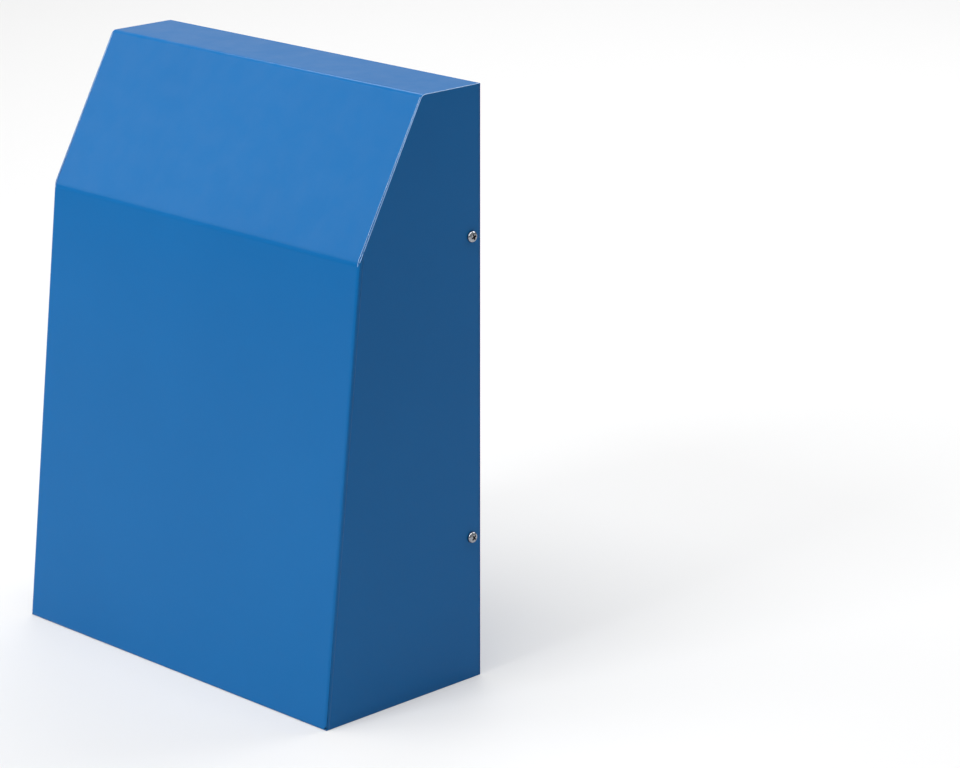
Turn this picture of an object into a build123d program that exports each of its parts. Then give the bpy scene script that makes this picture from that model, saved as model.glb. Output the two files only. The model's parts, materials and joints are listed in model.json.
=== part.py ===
"""Exterior duct fan: a folded sheet casing that hangs on an outside wall, with a round duct spigot
at the back, a backward-curved impeller on an external-rotor motor inside and a perforated foot.

Frame: +Z up, the front faces -Y, the wall plane is y = 0 and the duct axis is the Y axis, so the
origin is the middle of the duct opening in the wall plane. Millimetres.
"""
import os
from math import atan2, cos, radians, sin, sqrt, tan

from build123d import *

# Casing, outside sizes
CASING_WIDTH = 312.0
CASING_HEIGHT = 414.0
TOP_DEPTH = 53.0
KNEE_DEPTH = 110.0
KNEE_HEIGHT = 312.0
FOOT_DEPTH = 145.0
SHEET = 1.0
BEND = 1.5
SEAM_WIDTH = 0.6
SEAM_DEPTH = 0.5
CORNER_RELIEF = 1.8

# Perforated foot
HOLE = 10.0
HOLE_PITCH = 12.5
HOLE_COLUMNS = 23
HOLE_ROWS = 8
HOLES_FROM_WALL = 20.5

# Rear frame and mounting plate
RIM_SIDE = 18.0
RIM_END = 27.0
FLANGE_DEPTH = 18.0
FLANGE_NOTCH = 8.0
PLATE = 1.2
COVER_GAP = 0.3
PLATE_GAP = 0.5
KEY_SPAN_X = 252.0
KEY_SPAN_Z = 338.0
KEY_ENTRY = 10.0
KEY_SLOT = 6.0
KEY_RISE = 7.5

# Cover screws and the nuts that take them
SCREW_FROM_WALL = 8.5
SCREW_SPAN_Z = 210.0
SCREW = 4.0
SCREW_LENGTH = 9.0
SCREW_HEAD = 8.0
SCREW_HEAD_RISE = 2.6
SCREW_HEAD_EDGE = 1.0
CROSS_WIDTH = 1.0
CROSS_LENGTH = 4.2
CROSS_DEPTH = 1.4
NUT = 9.0
NUT_RISE = 4.0
THREAD_GAP = 0.05
HOLE_GAP = 0.25

# Duct spigot and its lip seal
SPIGOT = 159.0
SPIGOT_LENGTH = 50.5
SPIGOT_WALL = 1.0
SPIGOT_FLANGE_REACH = 15.0
SPIGOT_ROOT = 5.0
GROOVE_START = 27.5
GROOVE_WIDTH = 15.0
GROOVE_FLOOR = 7.5
GROOVE_DEPTH = 3.0
GROOVE_BEND = 1.5
LEAD_START = 45.6
LEAD_IN = 3.5
LEAD_BEND = 7.5
SEAL_BAND = 1.1
SEAL_OVERHANG = 1.2
SEAL_FIT = 0.06
LIP = 1.6
FRONT_LIP_REACH = 3.9
REAR_LIP_REACH = 2.3
LIP_LEAN = 5.0

# Inlet ring behind the impeller
INLET_SEAT = 13.5
INLET_THROAT = 116.0
INLET_BEND = 18.0
INLET_LENGTH = 25.0
INLET_WALL = 1.0

# Impeller
IMPELLER = 190.0
EYE_GAP = 2.0
EYE_OVERLAP = 5.0
EYE_LENGTH = 16.0
EYE_BEND = 14.0
SHROUD_FALL = 8.0
SHROUD_WALL = 1.0
BLADES = 9
BLADE_WALL = 1.2
BLADE_IN_ANGLE = 28.0
BLADE_OUT_ANGLE = 40.0
BLADE_INSET = 1.0
OUTLET_WIDTH = 34.0
WELD_GAP = 0.05

# Motor, from the can's end at the inlet towards the front
CAN = 92.0
CAN_WALL = 1.5
CAN_RISE = 41.0
CAN_BEND = 5.0
CAN_LIP_DIAMETER = 114.0
CAN_LIP_BEND = 2.0
CAN_RIVETS = 6
SHAFT = 8.0
SHAFT_FIT = 0.02
BEARING_RUN = 0.03
BEARING = 22.0
BEARING_WIDTH = 7.0
HUB = 20.0
HUB_LENGTH = 4.0
HUB_TO_BEARING = 2.5
STACK = 25.0
STACK_FROM_CAN = 9.0
WINDING_RISE = 5.0
WINDING = 62.0
WINDING_BORE = 34.0
AIR_GAP = 0.4
ROTOR_CORE_WALL = 10.0
TUBE_WALL = 2.0
FLANGE_RUN = 3.0
MOTOR_FLANGE = 100.0
MOTOR_FLANGE_WALL = 4.0
MOTOR_FLANGE_LENGTH = 10.0
MOTOR_BOSS = 14.0
MOTOR_SCREW_SPAN = 66.0
CAP_WALL = 4.0
CLIP_WIDTH = 0.8
CLIP = 12.0
CLIP_GROOVE = 0.5

# Bracket that carries the motor in front of the impeller
BRACKET_WIDTH = 60.0
BRACKET_SHEET = 2.0
BRACKET_FOOT = 18.0
BRACKET_BEND = 3.0
BRACKET_VENT = 36.0
RIVET = 4.0
RIVET_HEAD = 7.0
RIVET_RISE = 1.5
RIVET_DOME = 1.2
RIVET_BORE = 2.4
RIVET_BORE_DEPTH = 0.8
RIVET_FROM_RIM = 1.8
RIVET_FROM_LEG = 7.7
RIVET_SPAN_Z = 42.0

# Terminal box and what belongs to it
BOX_FROM_SIDE = 86.0
BOX_FROM_TOP = 57.0
BOX_WIDTH = 84.0
BOX_HEIGHT = 62.0
BOX_DEPTH = 30.0
BOX_WALL = 2.5
BOX_CORNER = 6.0
LID = 4.0
LID_LIP = 3.0
LID_GAP = 0.3
LID_SCREW_INSET = 8.0
LID_SCREW = 3.0
LID_SCREW_HEAD = 5.5
LID_SCREW_LENGTH = 12.0
LID_SCREW_RISE = 1.8
PILLAR = 8.0
BLOCK_WIDTH = 50.0
BLOCK_HEIGHT = 16.0
BLOCK_DEPTH = 12.0
BLOCK_POLES = 5
BLOCK_WELL = 6.0
GROMMET = 20.0
GROMMET_LIP = 26.0
GROMMET_LIP_WALL = 0.9
GROMMET_WELL = 14.0
GROMMET_MEMBRANE = 0.8
GLAND = 16.0
GLAND_NUT = 18.0
GLAND_LENGTH = 14.0
GLAND_ROUND = 3.0
LEAD = 6.0
LEAD_BOSS = 12.0
LEAD_BOSS_LENGTH = 8.0
LEAD_BOSS_OVERHANG = 2.0
LEAD_ARC_SHARE = 0.45
LEAD_EXIT_X = -16.0
LEAD_RISE = 40.0
LEAD_BOW_X = -36.0
LEAD_DIP = 22.0
LEAD_OVER_SHARE = 0.35
LEAD_DOWN_SHARE = 0.8
LEAD_STRAIGHT = 22.0

# Run capacitor and its clip
CAPACITOR = 30.0
CAPACITOR_LENGTH = 58.0
CAPACITOR_FROM_SIDE = 72.0
CAPACITOR_EDGE = 2.0
CAPACITOR_GAP = 0.2
STRAP_WIDTH = 14.0
STRAP_SHEET = 1.0
STRAP_FOOT = 9.0
STRAP_BEND = 2.0

# Places that follow from the sizes above, as distances in front of the wall plane (-Y) and heights
FOOT_Z = -CASING_HEIGHT / 2
TOP_Z = CASING_HEIGHT / 2
KNEE_Z = FOOT_Z + KNEE_HEIGHT
RIVET_SPAN_X = CASING_WIDTH - 2 * (RIM_SIDE + RIVET_FROM_RIM) - RIVET_HEAD
BRACKET_SPAN = RIVET_SPAN_X - 2 * (BRACKET_SHEET + RIVET_FROM_LEG)
BOX_X = CASING_WIDTH / 2 - BOX_FROM_SIDE
BOX_Z = TOP_Z - BOX_FROM_TOP
CAPACITOR_X = CAPACITOR_FROM_SIDE - CASING_WIDTH / 2
COVER_REAR = SHEET + COVER_GAP
FLANGE_WIDTH = CASING_WIDTH - 2 * (SHEET + COVER_GAP)
FLANGE_HEIGHT = CASING_HEIGHT - 2 * (SHEET + COVER_GAP)
PLATE_FRONT = SHEET + PLATE
SPIGOT_RADIUS = SPIGOT / 2
SPIGOT_BORE = SPIGOT - 2 * SPIGOT_WALL
EYE_FRONT = PLATE_FRONT + INLET_LENGTH - EYE_OVERLAP
EYE_RADIUS = INLET_THROAT / 2 + INLET_WALL + EYE_GAP
SHROUD_EDGE = EYE_FRONT + EYE_LENGTH + SHROUD_FALL
BACKPLATE_REAR = SHROUD_EDGE + OUTLET_WIDTH
BACKPLATE_FRONT = BACKPLATE_REAR + SHROUD_WALL
CAN_LIP_FRONT = BACKPLATE_FRONT + CAN_WALL
CAN_END = BACKPLATE_FRONT - CAN_RISE
HUB_REAR = CAN_END + CAN_WALL
TUBE_END = HUB_REAR + HUB_LENGTH + HUB_TO_BEARING
STACK_REAR = CAN_END + STACK_FROM_CAN
STACK_FRONT = STACK_REAR + STACK
FLANGE_REAR = CAN_LIP_FRONT + FLANGE_RUN
BRACKET_REAR = FLANGE_REAR + MOTOR_FLANGE_LENGTH
FRONT_BEARING = BRACKET_REAR - CAP_WALL - BEARING_WIDTH - 2 * CLIP_WIDTH - CLIP_GROOVE
STATOR_RADIUS = CAN / 2 - CAN_WALL - SHAFT_FIT - ROTOR_CORE_WALL - AIR_GAP
TUBE_RADIUS = BEARING / 2 + SHAFT_FIT + TUBE_WALL
CLIP_REAR = FRONT_BEARING + BEARING_WIDTH + BEARING_RUN
LEAN = atan2(FOOT_DEPTH - KNEE_DEPTH, KNEE_HEIGHT)
LEAD_EXIT_Y = -FLANGE_REAR - LEAD_BOSS / 2
LEAD_EXIT_Z = sqrt((MOTOR_FLANGE / 2) ** 2 - LEAD_EXIT_X ** 2) + LEAD_BOSS_OVERHANG


def flat_sheet(sketch, rear, thickness):
    """Sheet parallel to the wall, its rear face a given distance in front of the wall plane."""
    return extrude(Plane.XZ.offset(rear) * sketch, thickness)


def spun(section):
    """Turned or spun piece from a section drawn as (radius, y)."""
    return revolve(section, Axis.Y)


def ring(outer, bore, rear, length):
    """Plain ring about the fan axis, from its rear face towards the front."""
    return flat_sheet(Circle(outer / 2) - Circle(bore / 2), rear, length)


def disc(diameter, rear, length):
    """Plain disc about the fan axis, from its rear face towards the front."""
    return flat_sheet(Circle(diameter / 2), rear, length)


def sheet_section(points, bends, thickness):
    """Section of a bent sheet. The points run along one skin, bends are that skin's radii at the
    inner points, and the thickness lies to the left of the run."""
    run = [Vector(*point) for point in points]
    steps = [(after - before).normalized() for before, after in zip(run, run[1:])]
    lefts = [Vector(-step.Y, step.X) for step in steps]
    skin = [run[0] + lefts[0] * thickness]
    skin_bends = []
    for corner, left, next_left, bend in zip(run[1:-1], lefts, lefts[1:], bends):
        mitre = (left + next_left) * (1 / (1 + left.dot(next_left)))
        skin.append(corner + mitre * thickness)
        turns_left = left.cross(next_left).Z > 0
        skin_bends.append(bend - thickness if turns_left else bend + thickness)
    skin.append(run[-1] + lefts[-1] * thickness)
    radii = [0, *bends, 0, 0, *reversed(skin_bends), 0]
    return make_face(FilletPolyline(*run, *reversed(skin), radius=radii, close=True))


def copies(piece, places):
    """Group of equal solids, one at each place."""
    return Compound([place * piece for place in places])


def at_places(places, sketch):
    """One sketch repeated at several places."""
    return Sketch() + [place * sketch for place in places]


def casing_block(inset, bend):
    """Solid casing form, moved inwards by inset, with the folds and upright front edges rounded."""
    rear = -COVER_REAR
    outline = make_face(Polyline(
        (rear, FOOT_Z),
        (-FOOT_DEPTH, FOOT_Z),
        (-KNEE_DEPTH, KNEE_Z),
        (-TOP_DEPTH, TOP_Z),
        (rear, TOP_Z),
        close=True,
    ))
    if inset:
        outline = offset(outline, -inset, kind=Kind.INTERSECTION)
    outline = fillet(outline.vertices().sort_by(Axis.X)[:3], bend)
    block = extrude(Plane.YZ * outline, CASING_WIDTH / 2 - inset, both=True)
    front_foot = (CASING_WIDTH / 2 - inset, inset / cos(LEAN) - FOOT_DEPTH, FOOT_Z)
    edge = Plane(front_foot, x_dir=(1, 0, 0), z_dir=(0, sin(LEAN), cos(LEAN)))
    waste = Rectangle(4 * bend, 4 * bend) - Rectangle(4 * bend, 4 * bend, align=(Align.MAX, Align.MIN))
    corner = Rectangle(bend, bend, align=(Align.MAX, Align.MIN)) - Pos(-bend, bend) * Circle(bend)
    cutter = extrude(edge * (waste + corner), CASING_HEIGHT, both=True)
    return block - cutter - mirror(cutter, Plane.YZ)


def cover_screw_places():
    """Seats of the cover screws on the casing's skin, the screw axis pointing outwards as +Z."""
    sides = [
        Pos(side * CASING_WIDTH / 2, -SCREW_FROM_WALL, rise * SCREW_SPAN_Z / 2) * Rot(0, side * 90, 0)
        for side in (-1, 1)
        for rise in (-1, 1)
    ]
    return [*sides, Pos(0, -SCREW_FROM_WALL, FOOT_Z) * Rot(180, 0, 0)]


def seam_grooves():
    """Fine open seams where the side sheets meet the slope, the top and the foot."""
    seams = casing_block(0, BEND + SHEET) - casing_block(SEAM_DEPTH, BEND + SHEET - SEAM_DEPTH)
    strip = Box(SEAM_WIDTH, 2 * FOOT_DEPTH, 2 * CASING_HEIGHT)
    inside = CASING_WIDTH / 2 - SHEET - SEAM_WIDTH / 2
    strips = Pos(inside, 0, 0) * strip + Pos(-inside, 0, 0) * strip
    above_knee = Pos(0, 0, KNEE_Z) * Box(
        CASING_WIDTH, 2 * FOOT_DEPTH, CASING_HEIGHT, align=(Align.CENTER, Align.CENTER, Align.MIN)
    )
    foot = Pos(0, 0, FOOT_Z) * Box(CASING_WIDTH, 2 * FOOT_DEPTH, 2 * SEAM_DEPTH)
    return seams & strips & (above_knee + foot)


def corner_reliefs():
    """Small round reliefs at the front corners, where the folds of the knee and the foot run out."""
    relief = Rot(90, 0, 0) * Cylinder(CORNER_RELIEF / 2, 10 * SHEET)
    ends = [(KNEE_DEPTH, KNEE_Z), (FOOT_DEPTH, FOOT_Z + SHEET + CORNER_RELIEF / 2)]
    return copies(relief, [
        Pos(side * CASING_WIDTH / 2, -depth, height) * Rot(0, 0, side * 45)
        for side in (-1, 1)
        for depth, height in ends
    ])


def casing_cover():
    """One folded and welded sheet: front, slope, top, sides and the perforated foot."""
    cover = casing_block(0, BEND + SHEET) - casing_block(SHEET, BEND)
    mouth = Rectangle(CASING_WIDTH - 2 * SHEET, CASING_HEIGHT - 2 * SHEET)
    cover -= flat_sheet(mouth, 0, COVER_REAR + 2 * SHEET)
    cover -= seam_grooves()
    cover -= corner_reliefs()
    cover -= copies(Cylinder(SCREW / 2 + HOLE_GAP, 4 * SHEET), cover_screw_places())
    depth = (HOLE_ROWS - 1) * HOLE_PITCH + HOLE
    grid = GridLocations(HOLE_PITCH, HOLE_PITCH, HOLE_COLUMNS, HOLE_ROWS)
    middle = Pos(0, -HOLES_FROM_WALL - depth / 2, FOOT_Z)
    return cover - middle * copies(Box(HOLE, HOLE, 4 * SHEET), grid)


def rear_frame():
    """Flat rim in the wall plane, with four forward flanges that the cover slides over."""
    rim = Rectangle(CASING_WIDTH, CASING_HEIGHT)
    rim -= Rectangle(CASING_WIDTH - 2 * RIM_SIDE, CASING_HEIGHT - 2 * RIM_END)
    flanges = Rectangle(FLANGE_WIDTH, FLANGE_HEIGHT)
    flanges -= Rectangle(FLANGE_WIDTH - 2 * SHEET, FLANGE_HEIGHT - 2 * SHEET)
    flanges -= GridLocations(FLANGE_WIDTH, FLANGE_HEIGHT, 2, 2) * Rectangle(
        2 * FLANGE_NOTCH, 2 * FLANGE_NOTCH
    )
    frame = flat_sheet(rim, 0, SHEET) + flat_sheet(flanges, SHEET, FLANGE_DEPTH - SHEET)
    return frame - copies(Cylinder(SCREW / 2 + HOLE_GAP, 4 * COVER_REAR), cover_screw_places())


def weld_nuts():
    """Round weld nuts on the inner face of the frame's flanges."""
    nut = Cylinder(NUT / 2, NUT_RISE, align=(Align.CENTER, Align.CENTER, Align.MAX))
    nut -= Cylinder(SCREW / 2 + THREAD_GAP, 3 * NUT_RISE)
    return copies(Pos(0, 0, -2 * SHEET - COVER_GAP) * nut, cover_screw_places())


def cross_screw(shank, head, length, rise, edge):
    """Pan-head screw, its seat at z = 0 and its head towards +Z."""
    section = make_face(FilletPolyline(
        (0, -length), (shank / 2, -length), (shank / 2, 0), (head / 2, 0), (head / 2, rise), (0, rise),
        radius=[0, 0, 0, 0, rise - edge, 0], close=True,
    ))
    screw = revolve(Plane.XZ * section, Axis.Z)
    bit = Box(CROSS_LENGTH, CROSS_WIDTH, 2 * CROSS_DEPTH) + Box(CROSS_WIDTH, CROSS_LENGTH, 2 * CROSS_DEPTH)
    return screw - Pos(0, 0, rise) * bit


def cover_screws():
    """The five screws that hold the cover on the frame."""
    screw = cross_screw(SCREW, SCREW_HEAD, SCREW_LENGTH, SCREW_HEAD_RISE, SCREW_HEAD_EDGE)
    return copies(screw, cover_screw_places())


def keyhole():
    """Round entry with a narrower slot that rises from it."""
    slot = Pos(0, KEY_RISE / 2) * Rectangle(KEY_SLOT, KEY_RISE)
    return Circle(KEY_ENTRY / 2) + slot + Pos(0, KEY_RISE) * Circle(KEY_SLOT / 2)


def bracket_rivet_places():
    """Places of the bracket's rivets on the mounting plate."""
    return GridLocations(RIVET_SPAN_X, RIVET_SPAN_Z, 2, 2)


def mounting_plate():
    """Back plate inside the frame, with the duct hole and the keyholes for the wall screws."""
    trim = 2 * (SHEET + PLATE_GAP)
    outline = Rectangle(FLANGE_WIDTH - trim, FLANGE_HEIGHT - trim)
    outline -= Circle(SPIGOT_BORE / 2)
    outline -= GridLocations(KEY_SPAN_X, KEY_SPAN_Z, 2, 2) * keyhole()
    outline -= bracket_rivet_places() * Circle(RIVET / 2 + HOLE_GAP)
    outline -= Pos(BOX_X, BOX_Z) * Circle(GROMMET / 2)
    return flat_sheet(outline, SHEET, PLATE)


def duct_spigot():
    """Spun collar with a flange on the plate, a rolled seal groove and a turned-in mouth."""
    floor = SPIGOT_RADIUS - GROOVE_DEPTH
    flank = (GROOVE_WIDTH - GROOVE_FLOOR) / 2
    flange_face = SPIGOT_WALL - SHEET
    skin = [
        (SPIGOT_RADIUS + SPIGOT_FLANGE_REACH, flange_face),
        (SPIGOT_RADIUS, flange_face),
        (SPIGOT_RADIUS, GROOVE_START),
        (floor, GROOVE_START + flank),
        (floor, GROOVE_START + GROOVE_WIDTH - flank),
        (SPIGOT_RADIUS, GROOVE_START + GROOVE_WIDTH),
        (SPIGOT_RADIUS, LEAD_START),
        (SPIGOT_RADIUS - LEAD_IN, SPIGOT_LENGTH),
    ]
    bends = [SPIGOT_ROOT, GROOVE_BEND, 0, 0, GROOVE_BEND, LEAD_BEND]
    return spun(sheet_section(skin, bends, SPIGOT_WALL))


def spigot_seal():
    """Double-lip rubber seal, its foot on the groove's floor and both lips leaning to the wall."""
    flank = (GROOVE_WIDTH - GROOVE_FLOOR) / 2
    wall = SPIGOT_RADIUS + SEAL_FIT
    floor = wall - GROOVE_DEPTH
    band = wall + SEAL_BAND
    groove_end = GROOVE_START + GROOVE_WIDTH
    front = groove_end + SEAL_OVERHANG
    rear = GROOVE_START + flank + SEAL_FIT
    middle = (front + rear) / 2
    section = make_face(Polyline(
        (floor, rear),
        (floor, groove_end - flank - SEAL_FIT),
        (wall, groove_end - SEAL_FIT),
        (wall, front),
        (band, front),
        (band + FRONT_LIP_REACH, front - LIP_LEAN),
        (band + FRONT_LIP_REACH, front - LIP_LEAN - LIP / 2),
        (band, front - LIP),
        (band, middle),
        (band + REAR_LIP_REACH, middle - LIP_LEAN),
        (band + REAR_LIP_REACH, middle - LIP_LEAN - LIP / 2),
        (band, middle - LIP),
        (band, rear),
        close=True,
    ))
    return spun(section)


def inlet_ring():
    """Bell-mouthed ring on the plate's front face that leads the air into the impeller's eye."""
    skin = [
        (SPIGOT_BORE / 2 + INLET_SEAT, -PLATE_FRONT),
        (INLET_THROAT / 2, -PLATE_FRONT),
        (INLET_THROAT / 2, -PLATE_FRONT - INLET_LENGTH),
    ]
    return spun(sheet_section(skin, [INLET_BEND], INLET_WALL))


def shroud_skin():
    """Run of the shroud's air side, from the eye to the outer edge."""
    return [
        (EYE_RADIUS, -EYE_FRONT),
        (EYE_RADIUS, -EYE_FRONT - EYE_LENGTH),
        (IMPELLER / 2, -SHROUD_EDGE),
    ]


def impeller_shroud():
    """Spun front ring of the impeller."""
    return spun(sheet_section(shroud_skin(), [EYE_BEND], SHROUD_WALL))


def impeller_blades():
    """Backward-curved blades on circular arcs, fitted between the shroud and the backplate."""
    start = EYE_RADIUS + BLADE_INSET
    tip = IMPELLER / 2 - BLADE_INSET
    reach = tip * cos(radians(BLADE_OUT_ANGLE)) - start * cos(radians(BLADE_IN_ANGLE))
    arc = (tip ** 2 - start ** 2) / (2 * reach)
    centre = sqrt(arc ** 2 + start ** 2 - 2 * arc * start * cos(radians(BLADE_IN_ANGLE)))
    band = Pos(centre, 0) * (Circle(arc + BLADE_WALL / 2) - Circle(arc - BLADE_WALL / 2))
    upper = Rectangle(2 * IMPELLER, IMPELLER, align=(Align.CENTER, Align.MIN))
    profile = band & (Circle(tip) - Circle(start)) & upper
    floor = WELD_GAP - BACKPLATE_REAR
    passage = spun(make_face(FilletPolyline(
        *shroud_skin(), (IMPELLER / 2, floor), (EYE_RADIUS, floor),
        radius=[0, EYE_BEND, 0, 0, 0], close=True,
    )))
    upright = flat_sheet(profile, EYE_FRONT, BACKPLATE_REAR - EYE_FRONT)
    blade = (upright & Pos(0, -WELD_GAP, 0) * passage).solid()
    return copies(blade, [Rot(0, turn * 360 / BLADES, 0) for turn in range(BLADES)])


def can_rivet_places():
    """Places of the rivets that hold the backplate on the rotor can's flange."""
    return PolarLocations((CAN / 2 + CAN_LIP_BEND + CAN_LIP_DIAMETER / 2) / 2, CAN_RIVETS)


def impeller_backplate():
    """Flat disc of the impeller, seated on the rotor can's flange."""
    outline = Circle(IMPELLER / 2) - Circle(CAN / 2 + CAN_LIP_BEND)
    outline -= can_rivet_places() * Circle(RIVET / 2 + HOLE_GAP)
    return flat_sheet(outline, BACKPLATE_REAR, SHROUD_WALL)


def rivet(grip):
    """Blind rivet along +Z: a domed head with its pin's hole, seated at z = 0, and a set head."""
    floor = RIVET_RISE - RIVET_BORE_DEPTH
    section = make_face(FilletPolyline(
        (0, floor), (RIVET_BORE / 2, floor), (RIVET_BORE / 2, RIVET_RISE), (RIVET_HEAD / 2, RIVET_RISE),
        (RIVET_HEAD / 2, 0), (RIVET / 2, 0), (RIVET / 2, -grip), (RIVET_HEAD / 2, -grip),
        (RIVET_HEAD / 2, -grip - RIVET_RISE), (0, -grip - RIVET_RISE),
        radius=[0, 0, 0, RIVET_DOME, 0, 0, 0, 0, RIVET_DOME, 0], close=True,
    ))
    return revolve(Plane.XZ * section, Axis.Z)


def towards_wall(places, rear):
    """Places on a plane parallel to the wall, their +Z pointing to the wall."""
    return [Pos(p.position.X, -rear, p.position.Y) * Rot(-90, 0, 0) for p in places]


def towards_front(places, rear):
    """Places on a plane parallel to the wall, their +Z pointing to the front."""
    return [Pos(p.position.X, -rear, p.position.Y) * Rot(90, 0, 0) for p in places]


def impeller_rivets():
    """Rivets through the backplate and the rotor can's flange."""
    return copies(rivet(SHROUD_WALL + CAN_WALL), towards_wall(can_rivet_places(), BACKPLATE_REAR))


def bracket_rivets():
    """Rivets through the mounting plate and the bracket's feet, their heads towards the wall."""
    return copies(rivet(PLATE + BRACKET_SHEET), towards_wall(bracket_rivet_places(), SHEET))


def rotor_can():
    """Drawn cup of the external rotor, closed towards the inlet and flanged at its open end."""
    skin = [
        (CAN_LIP_DIAMETER / 2, -BACKPLATE_FRONT),
        (CAN / 2, -BACKPLATE_FRONT),
        (CAN / 2, -CAN_END),
        (SHAFT / 2 + SHAFT_FIT, -CAN_END),
    ]
    can = spun(sheet_section(skin, [CAN_LIP_BEND, CAN_BEND], CAN_WALL))
    holes = at_places(can_rivet_places(), Circle(RIVET / 2 + HOLE_GAP))
    return can - flat_sheet(holes, BACKPLATE_REAR, SHROUD_WALL + 2 * CAN_WALL)


def rotor_core():
    """Laminated ring with its cage, pressed into the rotor can round the stator."""
    outer = CAN - 2 * (CAN_WALL + SHAFT_FIT)
    return ring(outer, outer - 2 * ROTOR_CORE_WALL, STACK_REAR, STACK)


def rotor_hub():
    """Bush that fixes the shaft in the closed end of the rotor can."""
    return ring(HUB, SHAFT + 2 * SHAFT_FIT, HUB_REAR, HUB_LENGTH)


def motor_shaft():
    """Ground shaft, fixed in the hub and running in both bearings, grooved for its clip."""
    end = CLIP_REAR + 2 * CLIP_WIDTH
    groove = Circle(SHAFT) - Circle(SHAFT / 2 - CLIP_GROOVE)
    return disc(SHAFT, CAN_END, end - CAN_END) - flat_sheet(groove, CLIP_REAR, CLIP_WIDTH)


def shaft_clip():
    """Open retaining ring in the shaft's groove."""
    outline = Circle(CLIP / 2) - Circle(SHAFT / 2 - CLIP_GROOVE + SHAFT_FIT)
    outline -= Pos(0, CLIP / 2) * Rectangle(SHAFT / 2, CLIP)
    return flat_sheet(outline, CLIP_REAR + SHAFT_FIT, CLIP_WIDTH - 2 * SHAFT_FIT)


def bearing(rear):
    """Ball bearing as a closed ring that the shaft runs in."""
    return ring(BEARING, SHAFT + 2 * BEARING_RUN, rear, BEARING_WIDTH)


def stator_core():
    """Laminated stator stack on the bearing tube."""
    return ring(2 * STATOR_RADIUS, 2 * (TUBE_RADIUS + SHAFT_FIT), STACK_REAR, STACK)


def stator_winding():
    """End turns of the winding on both faces of the stack."""
    ends = (STACK_REAR - WINDING_RISE, STACK_FRONT)
    return Compound([ring(WINDING, WINDING_BORE, rear, WINDING_RISE) for rear in ends])


def motor_screw_places():
    """Places of the screws that hold the motor's flange on the bracket."""
    return PolarLocations(MOTOR_SCREW_SPAN / 2, 4, start_angle=45)


def motor_flange():
    """Cast flange with the bearing tube, four bosses for the bracket and the lead's exit."""
    flange = disc(MOTOR_FLANGE, FLANGE_REAR, MOTOR_FLANGE_WALL)
    flange += disc(2 * TUBE_RADIUS, TUBE_END, BRACKET_REAR - TUBE_END)
    bosses = at_places(motor_screw_places(), Circle(MOTOR_BOSS / 2))
    flange += flat_sheet(bosses, FLANGE_REAR, MOTOR_FLANGE_LENGTH)
    flange += Pos(LEAD_EXIT_X, LEAD_EXIT_Y, LEAD_EXIT_Z) * Cylinder(
        LEAD_BOSS / 2, LEAD_BOSS_LENGTH, align=(Align.CENTER, Align.CENTER, Align.MAX)
    )
    flange -= disc(BEARING + 2 * SHAFT_FIT, TUBE_END, BRACKET_REAR - CAP_WALL - TUBE_END)
    screw_holes = at_places(motor_screw_places(), Circle(SCREW / 2 + THREAD_GAP))
    return flange - flat_sheet(screw_holes, FLANGE_REAR + MOTOR_FLANGE_WALL / 2, MOTOR_FLANGE_LENGTH)


def motor_bracket():
    """Folded strap that bridges the impeller and carries the motor on its web."""
    half = BRACKET_SPAN / 2
    toe = half + BRACKET_SHEET + BRACKET_FOOT
    skin = [
        (toe, -PLATE_FRONT),
        (half, -PLATE_FRONT),
        (half, -BRACKET_REAR),
        (-half, -BRACKET_REAR),
        (-half, -PLATE_FRONT),
        (-toe, -PLATE_FRONT),
    ]
    outer_bend = BRACKET_BEND + BRACKET_SHEET
    section = sheet_section(skin, [outer_bend, BRACKET_BEND, BRACKET_BEND, outer_bend], BRACKET_SHEET)
    bracket = extrude(section, BRACKET_WIDTH / 2, both=True)
    holes = Circle(BRACKET_VENT / 2) + at_places(motor_screw_places(), Circle(SCREW / 2 + HOLE_GAP))
    bracket -= flat_sheet(holes, BRACKET_REAR, BRACKET_SHEET)
    rivet_holes = at_places(bracket_rivet_places(), Circle(RIVET / 2 + HOLE_GAP))
    return bracket - flat_sheet(rivet_holes, PLATE_FRONT, BRACKET_SHEET)


def motor_screws():
    """Screws through the bracket's web into the motor flange's bosses."""
    screw = cross_screw(SCREW, SCREW_HEAD, SCREW_LENGTH, SCREW_HEAD_RISE, SCREW_HEAD_EDGE)
    return copies(screw, towards_front(motor_screw_places(), BRACKET_REAR + BRACKET_SHEET))


def box_outline(inset):
    """Rounded outline of the terminal box, moved inwards by inset."""
    corner = max(BOX_CORNER - inset, BOX_WALL)
    outline = RectangleRounded(BOX_WIDTH - 2 * inset, BOX_HEIGHT - 2 * inset, corner)
    return Pos(BOX_X, BOX_Z) * outline


def lid_screw_places():
    """Places of the lid's screws, over the pillars in the box's corners."""
    inset = 2 * LID_SCREW_INSET
    return [
        Pos(BOX_X, BOX_Z) * place
        for place in GridLocations(BOX_WIDTH - inset, BOX_HEIGHT - inset, 2, 2)
    ]


def terminal_box_base():
    """Open plastic tray on the mounting plate, with pillars for the lid's screws."""
    base = flat_sheet(box_outline(0), PLATE_FRONT, BOX_DEPTH)
    base -= flat_sheet(box_outline(BOX_WALL), PLATE_FRONT + BOX_WALL, BOX_DEPTH)
    base += flat_sheet(at_places(lid_screw_places(), Circle(PILLAR / 2)), PLATE_FRONT, BOX_DEPTH)
    screw_holes = at_places(lid_screw_places(), Circle(LID_SCREW / 2 + THREAD_GAP))
    base -= flat_sheet(screw_holes, PLATE_FRONT + BOX_WALL, BOX_DEPTH)
    base -= flat_sheet(Pos(BOX_X, BOX_Z) * Circle(GROMMET_LIP / 2 + LID_GAP), PLATE_FRONT, BOX_WALL)
    return base - gland_axis() * Cylinder(GLAND / 2 + THREAD_GAP, 3 * BOX_WALL)


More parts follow.
